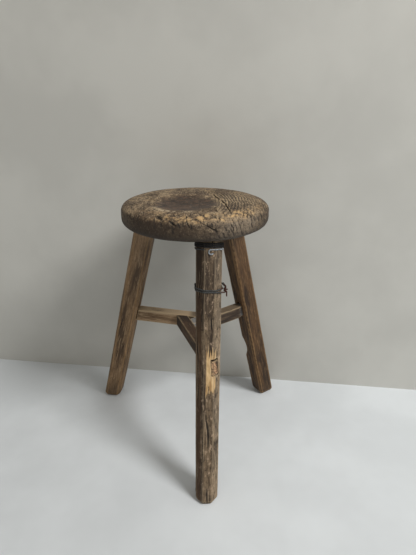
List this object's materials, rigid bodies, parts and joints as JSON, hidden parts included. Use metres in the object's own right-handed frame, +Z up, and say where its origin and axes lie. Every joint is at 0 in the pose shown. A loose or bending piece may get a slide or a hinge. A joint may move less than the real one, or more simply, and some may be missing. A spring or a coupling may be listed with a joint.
{
  "type": "wooden milking stool",
  "caption": "Rustic milking stool with a thick round dished seat on raked legs braced by a pinwheel of stretchers, one leg bound with wire.",
  "frame": {"origin": "on the floor, under the middle of the whole stool's footprint box", "axes": "+Z up from the floor to the seat, -Y towards the leg that carries the wires, +X towards the right leg when that leg is in front"},
  "size_m": [0.4078, 0.3532, 0.5],
  "materials": {
    "seat_wood": "weathered grey-brown elm, grain standing proud, dished middle polished by use",
    "leg_wood": "hand-hewn squared legs, brown and dry",
    "front_leg_wood": "round-backed log with deep weather checks, rubbed to pale wood round the tenon",
    "stretcher_wood": "squared bars, lighter grey-brown, pale on top",
    "wedge_wood": "end grain, dark and worn level with the seat",
    "dark_wire": "old iron wire, nearly black",
    "bright_wire": "galvanised wire, dull silver",
    "rusty_wire": "iron wire with red-brown rust at the tie"
  },
  "bodies": {
    "root": {"seat": "seat_wood", "left_leg": "leg_wood", "right_leg": "leg_wood", "front_leg": "front_leg_wood", "left_stretcher": "stretcher_wood", "right_stretcher": "stretcher_wood", "front_stretcher": "stretcher_wood", "left_leg_wedge": "wedge_wood", "right_leg_wedge": "wedge_wood", "front_leg_wedge": "wedge_wood", "upper_wire_binding": "dark_wire", "hook_wire": "bright_wire", "lower_wire_binding": "rusty_wire"}
  },
  "joints": []
}
